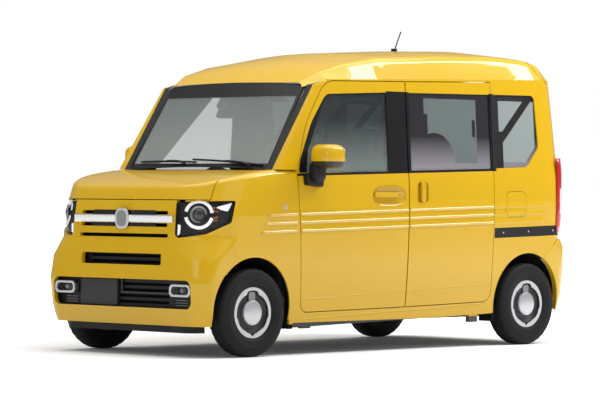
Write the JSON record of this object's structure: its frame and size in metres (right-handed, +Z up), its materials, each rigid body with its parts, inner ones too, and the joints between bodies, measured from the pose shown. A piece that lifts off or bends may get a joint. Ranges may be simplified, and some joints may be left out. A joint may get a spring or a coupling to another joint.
{
  "type": "high-roof kei van",
  "caption": "Tall, short four-wheel van with opening front doors, bonnet, tailgate and fuel lid, sliding rear side doors, seats and steered front wheels",
  "frame": {"origin": "on the ground, midway between the axles and on the car's middle plane", "axes": "X forward along the car, Y to the car's left, Z up"},
  "size_m": [3.395, 1.86, 2.066],
  "materials": {
    "yellow_paint": "glossy golden-yellow paint",
    "window_glass": "clear green-tinted glass",
    "privacy_glass": "dark privacy glass",
    "lamp_lens": "clear lamp lens",
    "red_lens": "glossy red lens",
    "chrome_trim": "polished chrome",
    "black_plastic": "grained black plastic",
    "dark_plastic": "grained dark grey plastic",
    "seat_cloth": "dark woven cloth",
    "steel_panel": "black underbody paint",
    "cast_metal": "rough cast metal",
    "exhaust_steel": "heat-stained steel",
    "tyre_rubber": "black rubber",
    "wheel_silver": "silver painted wheel"
  },
  "bodies": {
    "body": {"antenna": "black_plastic", "body_side_left": "yellow_paint", "body_side_right": "yellow_paint", "cowl_panel": "black_plastic", "dashboard": "dark_plastic", "door_rails": "black_plastic", "engine_block": "cast_metal", "exhaust": "exhaust_steel", "floor_pan": "steel_panel", "front_bumper": "yellow_paint", "front_fenders": "yellow_paint", "front_lamps": "lamp_lens", "front_subframe": "steel_panel", "fuel_tank": "steel_panel", "grille_bar": "chrome_trim", "grille_panel": "yellow_paint", "lower_grille": "black_plastic", "rear_axle": "steel_panel", "rear_bumper": "yellow_paint", "roof_panel": "yellow_paint", "seats": "seat_cloth", "side_glass": "privacy_glass", "sliding_doors": "yellow_paint", "steering_wheel": "dark_plastic", "tail_lamps": "red_lens", "windscreen": "window_glass"},
    "bonnet": {"bonnet": "yellow_paint"},
    "tailgate": {"tailgate": "yellow_paint", "tailgate_glass": "privacy_glass"},
    "front_door_left": {"front_door_left": "yellow_paint", "front_glass_left": "window_glass", "mirror_left": "yellow_paint"},
    "front_door_right": {"front_door_right": "yellow_paint", "front_glass_right": "window_glass", "mirror_right": "yellow_paint"},
    "fuel_lid": {"fuel_lid": "yellow_paint"},
    "knuckle_left": {"knuckle_left": "cast_metal"},
    "knuckle_right": {"knuckle_right": "cast_metal"},
    "wheel_front_left": {"tyre_front_left": "tyre_rubber", "wheel_front_left": "wheel_silver"},
    "wheel_front_right": {"tyre_front_right": "tyre_rubber", "wheel_front_right": "wheel_silver"},
    "wheel_rear_left": {"tyre_rear_left": "tyre_rubber", "wheel_rear_left": "wheel_silver"},
    "wheel_rear_right": {"tyre_rear_right": "tyre_rubber", "wheel_rear_right": "wheel_silver"}
  },
  "joints": [
    {"name": "steer_left", "type": "hinge", "parent": "body", "child": "knuckle_left", "pos_m": [1.26, 0.6, 0.2685], "axis": [0, 0, 1], "range_deg": [-35, 35]},
    {"name": "steer_right", "type": "hinge", "parent": "body", "child": "knuckle_right", "pos_m": [1.26, -0.6, 0.2685], "axis": [0, 0, 1], "range_deg": [-35, 35]},
    {"name": "spin_front_left", "type": "hinge", "parent": "knuckle_left", "child": "wheel_front_left", "pos_m": [1.26, 0.655, 0.2685], "axis": [0, 1, 0], "continuous": true},
    {"name": "spin_front_right", "type": "hinge", "parent": "knuckle_right", "child": "wheel_front_right", "pos_m": [1.26, -0.655, 0.2685], "axis": [0, 1, 0], "continuous": true},
    {"name": "spin_rear_left", "type": "hinge", "parent": "body", "child": "wheel_rear_left", "pos_m": [-1.26, 0.655, 0.2685], "axis": [0, 1, 0], "continuous": true},
    {"name": "spin_rear_right", "type": "hinge", "parent": "body", "child": "wheel_rear_right", "pos_m": [-1.26, -0.655, 0.2685], "axis": [0, 1, 0], "continuous": true},
    {"name": "door_left_hinge", "type": "hinge", "parent": "body", "child": "front_door_left", "pos_m": [0.8985, 0.734, 0.85], "axis": [0, 0, -1], "range_deg": [0, 70]},
    {"name": "door_right_hinge", "type": "hinge", "parent": "body", "child": "front_door_right", "pos_m": [0.8985, -0.734, 0.85], "axis": [0, 0, 1], "range_deg": [0, 70]},
    {"name": "bonnet_hinge", "type": "hinge", "parent": "body", "child": "bonnet", "pos_m": [1.097, 0, 1.1315], "axis": [0, -1, 0], "range_deg": [0, 50]},
    {"name": "tailgate_hinge", "type": "hinge", "parent": "body", "child": "tailgate", "pos_m": [-1.335, 0, 1.9245], "axis": [0, 1, 0], "range_deg": [0, 80]},
    {"name": "fuel_lid_hinge", "type": "hinge", "parent": "body", "child": "fuel_lid", "pos_m": [-1.025, 0.7375, 0.925], "axis": [0, 0, -1], "range_deg": [0, 90]}
  ],
  "couplings": [
    {"joint": "steer_right", "follows": "steer_left", "ratio": 1}
  ]
}
